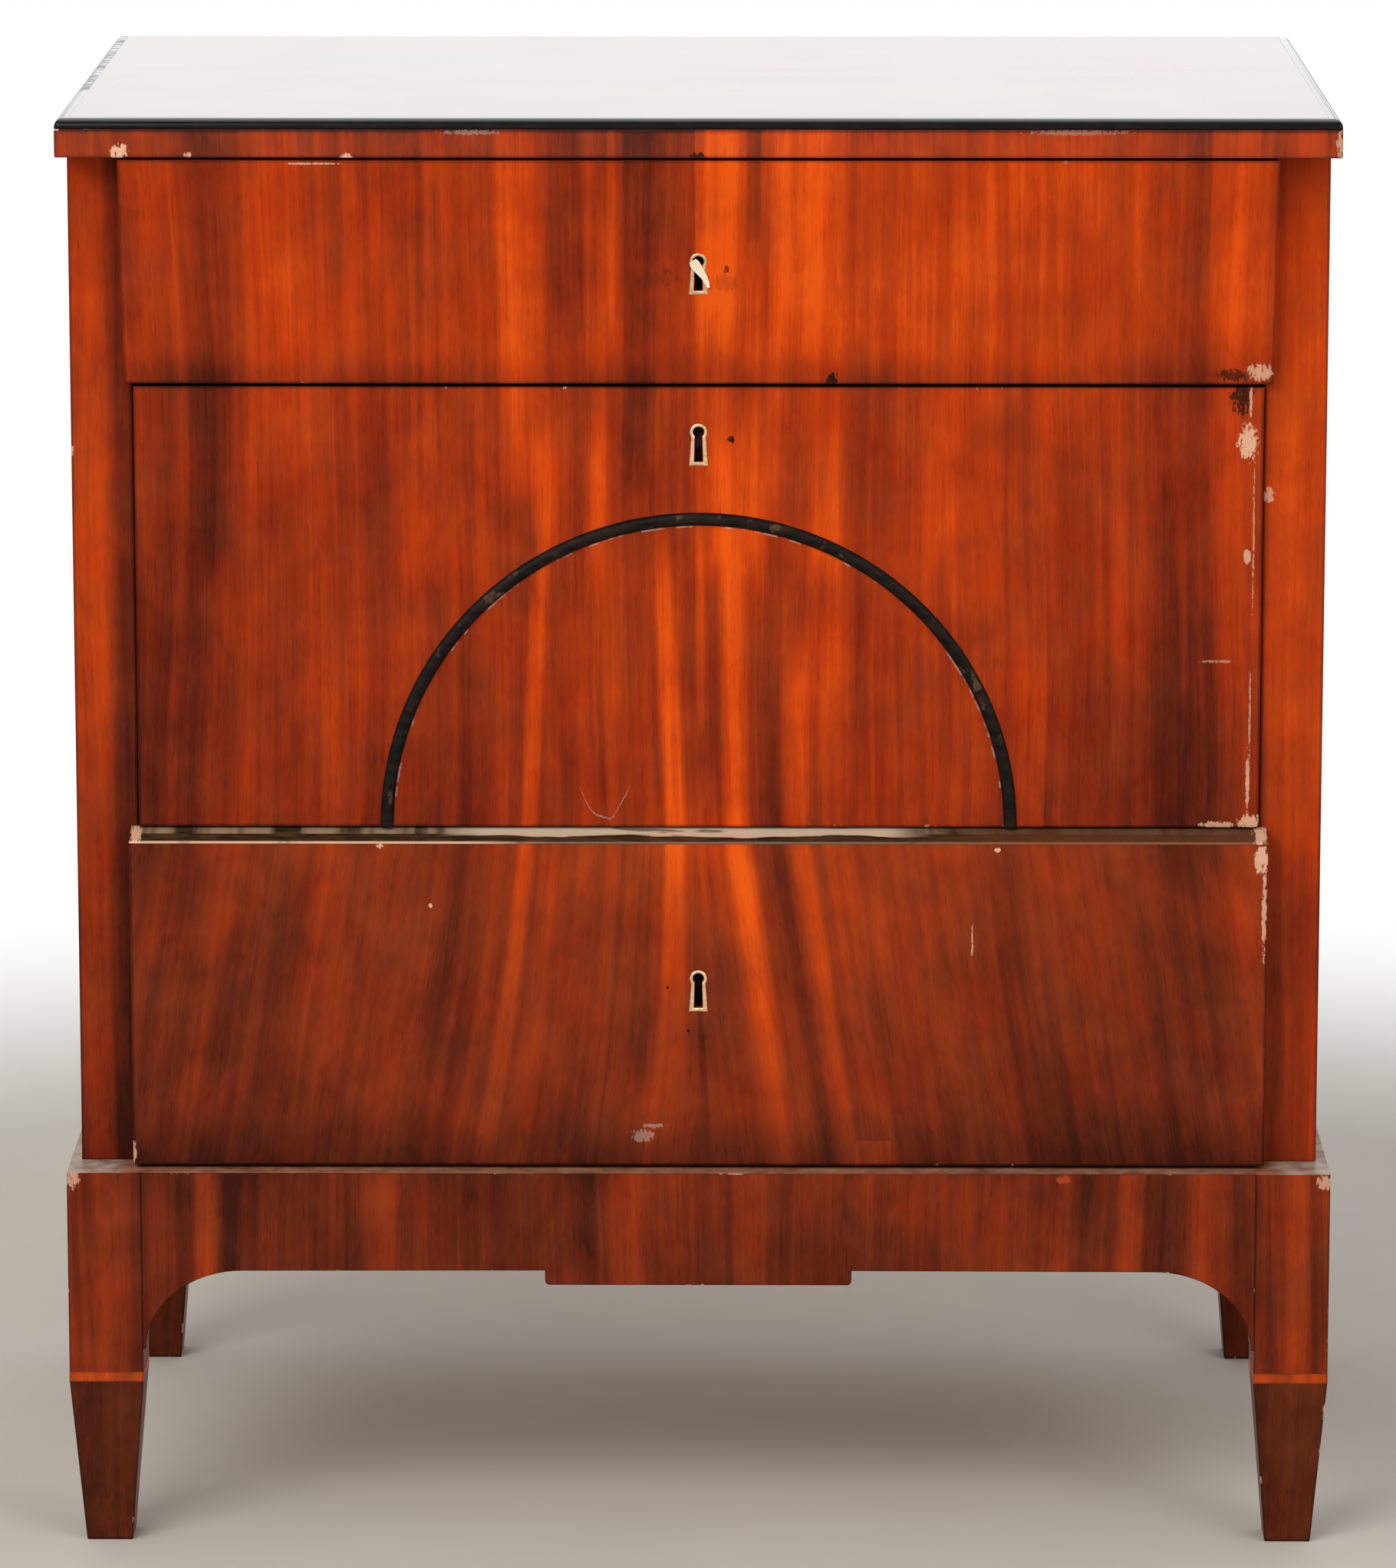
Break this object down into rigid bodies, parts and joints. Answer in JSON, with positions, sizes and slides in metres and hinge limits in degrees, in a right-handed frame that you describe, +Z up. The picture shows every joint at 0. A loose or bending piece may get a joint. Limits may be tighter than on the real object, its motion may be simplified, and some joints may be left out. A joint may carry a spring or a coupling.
{
  "type": "chest of drawers",
  "caption": "Low narrow chest of drawers in mahogany veneer: leaning top drawer, ebonised half-round arch, stand on tapered legs.",
  "frame": {"origin": "floor level, under the middle of the bounding box", "axes": "+X to the viewer's right, +Y to the back, +Z up; the drawer fronts face -Y"},
  "size_m": [0.856, 0.53, 0.978],
  "materials": {
    "mahogany": "mahogany veneer, french polished, worn at the edges",
    "ebonised": "blackened and polished hardwood",
    "pine": "planed pine, aged and unpolished",
    "inlay": "light inlaid wood under polish",
    "brass": "aged cast brass, rubbed bright",
    "iron": "dark forged iron",
    "steel": "plain steel wood screw"
  },
  "bodies": {
    "case": {"top_board": "mahogany", "top_edge_bead": "ebonised", "case_side_left": "mahogany", "case_side_right": "mahogany", "stile_left": "mahogany", "stile_right": "mahogany", "case_bottom": "pine", "lower_rail": "pine", "upper_rail": "pine", "top_rail_front": "pine", "top_rail_back": "pine", "bottom_guide_left": "pine", "bottom_guide_right": "pine", "middle_runner_left": "pine", "middle_runner_right": "pine", "top_runner_left": "pine", "top_runner_right": "pine", "back_board_1": "pine", "back_board_2": "pine", "drawer_stops": "pine", "wood_screws": "steel", "front_leg_left": "mahogany", "front_leg_right": "mahogany", "back_leg_left": "mahogany", "back_leg_right": "mahogany", "leg_bands": "inlay", "front_apron": "mahogany", "side_apron_left": "mahogany", "side_apron_right": "mahogany", "back_apron": "pine", "front_bracket_left": "mahogany", "front_bracket_right": "mahogany", "side_brackets_left": "mahogany", "side_brackets_right": "mahogany", "glue_blocks": "pine"},
    "top_drawer": {"top_drawer_front": "mahogany", "top_drawer_side_left": "pine", "top_drawer_side_right": "pine", "top_drawer_back": "pine", "top_drawer_bottom": "pine", "top_escutcheon": "brass", "top_lock_case": "iron"},
    "top_bolt": {"top_lock_bolt": "iron"},
    "middle_drawer": {"middle_drawer_front": "mahogany", "middle_drawer_side_left": "pine", "middle_drawer_side_right": "pine", "middle_drawer_back": "pine", "middle_drawer_bottom": "pine", "middle_escutcheon": "brass", "middle_lock_case": "iron", "arch_moulding": "ebonised"},
    "middle_bolt": {"middle_lock_bolt": "iron"},
    "bottom_drawer": {"bottom_drawer_front": "mahogany", "bottom_drawer_side_left": "pine", "bottom_drawer_side_right": "pine", "bottom_drawer_back": "pine", "bottom_drawer_bottom": "pine", "bottom_escutcheon": "brass", "bottom_lock_case": "iron"},
    "bottom_bolt": {"bottom_lock_bolt": "iron"}
  },
  "joints": [
    {"name": "top_drawer_slide", "type": "slide", "parent": "case", "child": "top_drawer", "axis": [0, -1, 0], "range_m": [0, 0.34]},
    {"name": "middle_drawer_slide", "type": "slide", "parent": "case", "child": "middle_drawer", "axis": [0, -1, 0], "range_m": [0, 0.34]},
    {"name": "bottom_drawer_slide", "type": "slide", "parent": "case", "child": "bottom_drawer", "axis": [0, -1, 0], "range_m": [0, 0.34]},
    {"name": "top_bolt_throw", "type": "slide", "parent": "top_drawer", "child": "top_bolt", "axis": [0, 0, 1], "range_m": [0, 0.008]},
    {"name": "middle_bolt_throw", "type": "slide", "parent": "middle_drawer", "child": "middle_bolt", "axis": [0, 0, 1], "range_m": [0, 0.008]},
    {"name": "bottom_bolt_throw", "type": "slide", "parent": "bottom_drawer", "child": "bottom_bolt", "axis": [0, 0, 1], "range_m": [0, 0.008]}
  ]
}
